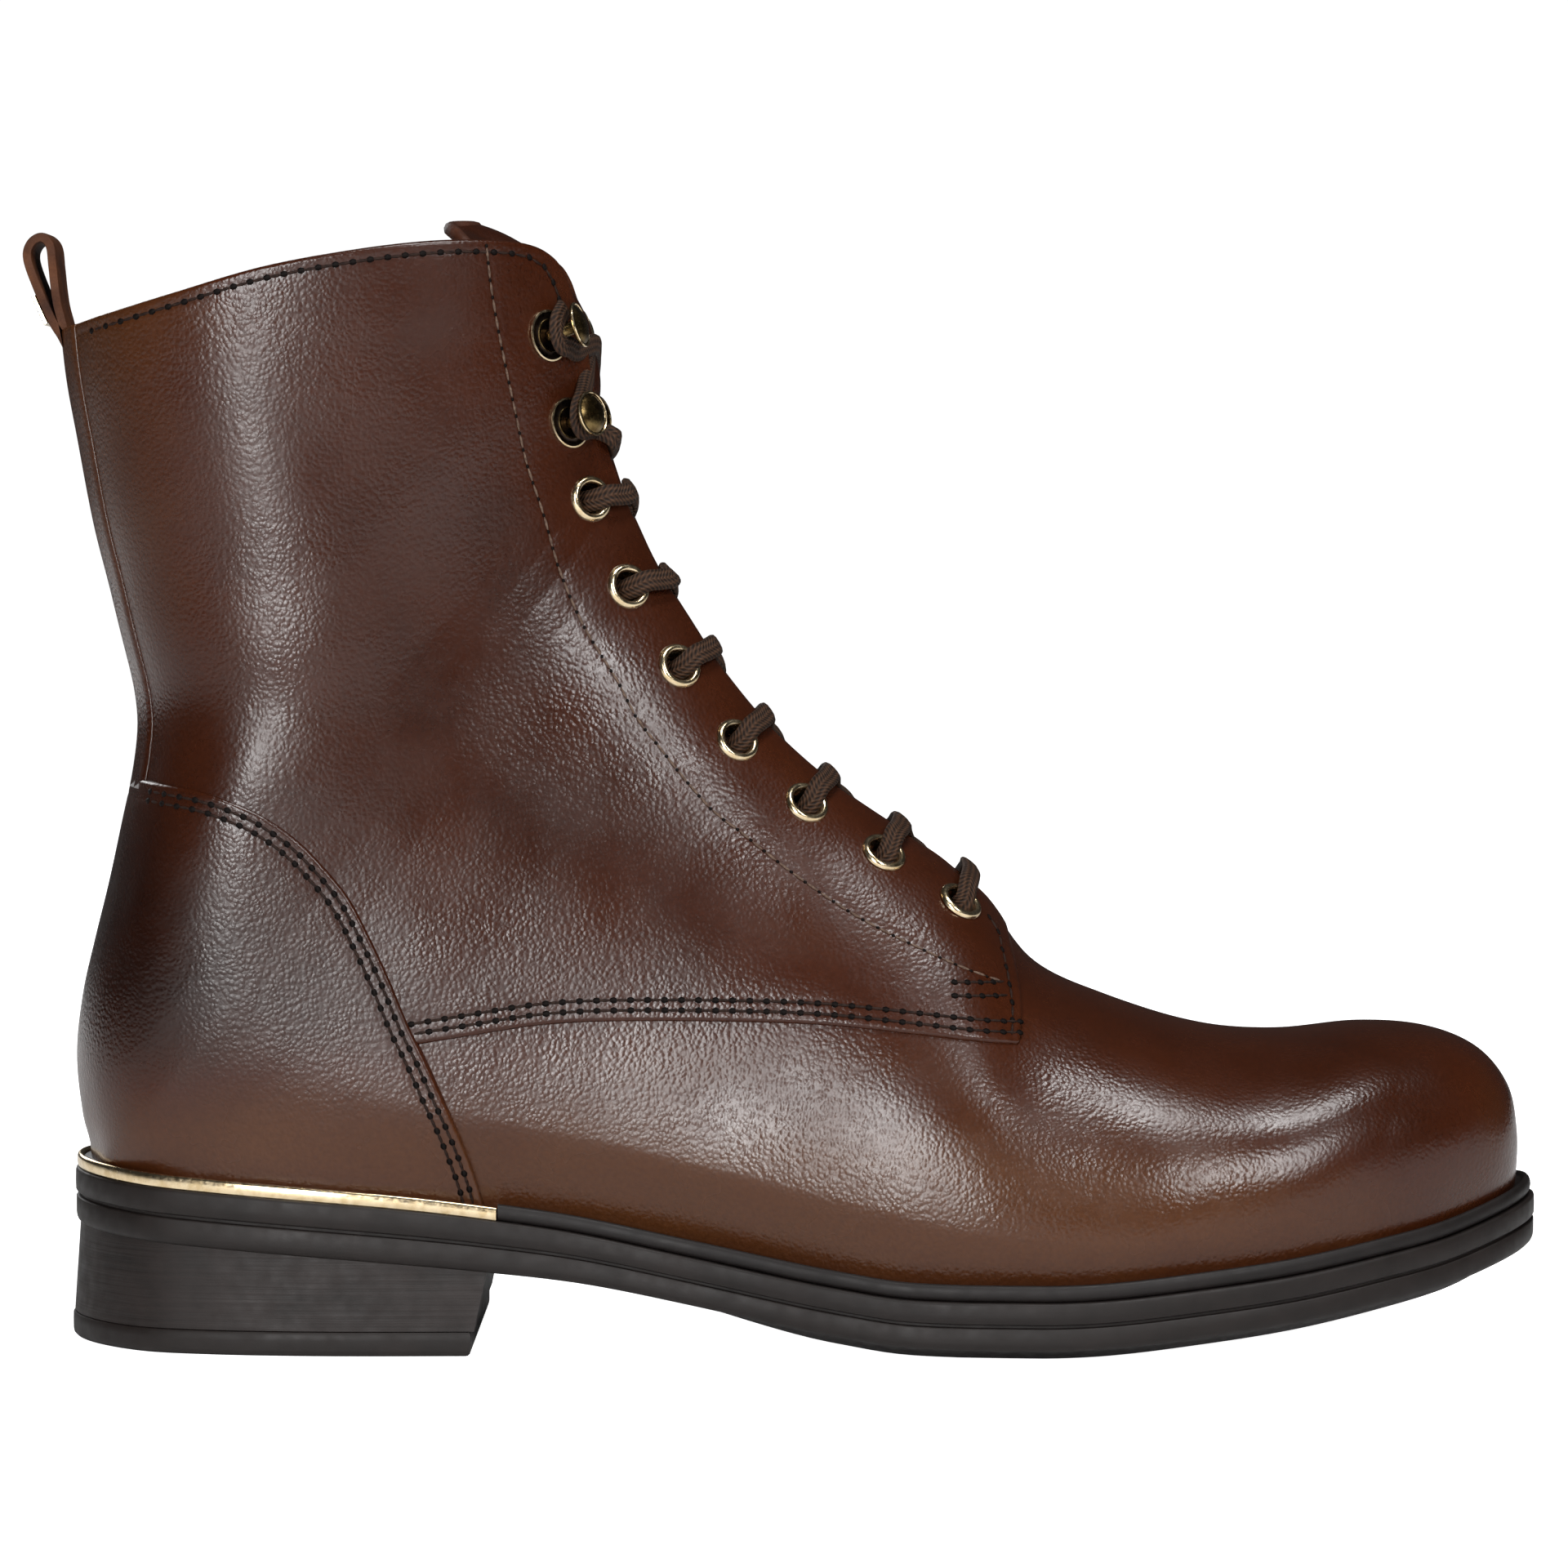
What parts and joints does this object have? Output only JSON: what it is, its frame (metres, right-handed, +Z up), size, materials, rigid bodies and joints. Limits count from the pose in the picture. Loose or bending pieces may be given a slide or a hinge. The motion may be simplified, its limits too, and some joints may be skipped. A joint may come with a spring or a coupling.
{
  "type": "ankle boot",
  "caption": "Lace-up leather ankle boot with round toe, raised quarters and counter, eyelets and speed hooks, welted sole, thin metal heel rim and low block heel.",
  "frame": {"origin": "centre of the bounding box's floor area, on the floor under the sole", "axes": "+X from heel to toe along the sole, +Y to the inner (medial) side, +Z up"},
  "size_m": [0.2908, 0.1004, 0.2144],
  "materials": {
    "upper_leather": "burnished brown grain leather, semi-gloss",
    "lining_leather": "matte pinkish brown lining",
    "welt_leather": "dark edge-dyed leather",
    "sole_rubber": "matte dark brown",
    "heel_stack": "matte dark brown with fine level lines",
    "gold_metal": "pale gold, polished",
    "hook_brass": "antique brass, domed",
    "lace_cord": "waxed ribbed flat lace"
  },
  "bodies": {
    "root": {"outsole": "sole_rubber", "heel_block": "heel_stack", "heel_top_piece": "sole_rubber", "welt": "welt_leather", "heel_rim": "gold_metal", "insole": "lining_leather", "upper": "upper_leather", "tongue": "upper_leather", "pull_loop": "upper_leather", "eyelet_lateral_1": "gold_metal", "eyelet_lateral_2": "gold_metal", "eyelet_lateral_3": "gold_metal", "eyelet_lateral_4": "gold_metal", "eyelet_lateral_5": "gold_metal", "eyelet_lateral_6": "gold_metal", "eyelet_lateral_7": "gold_metal", "hook_lateral_1": "hook_brass", "hook_lateral_2": "hook_brass", "eyelet_medial_1": "gold_metal", "eyelet_medial_2": "gold_metal", "eyelet_medial_3": "gold_metal", "eyelet_medial_4": "gold_metal", "eyelet_medial_5": "gold_metal", "eyelet_medial_6": "gold_metal", "eyelet_medial_7": "gold_metal", "hook_medial_1": "hook_brass", "hook_medial_2": "hook_brass", "lace_bar": "lace_cord", "lace_cross_1": "lace_cord", "lace_cross_2": "lace_cord", "lace_cross_3": "lace_cord", "lace_cross_4": "lace_cord", "lace_cross_5": "lace_cord", "lace_cross_6": "lace_cord", "lace_top": "lace_cord"}
  },
  "joints": []
}
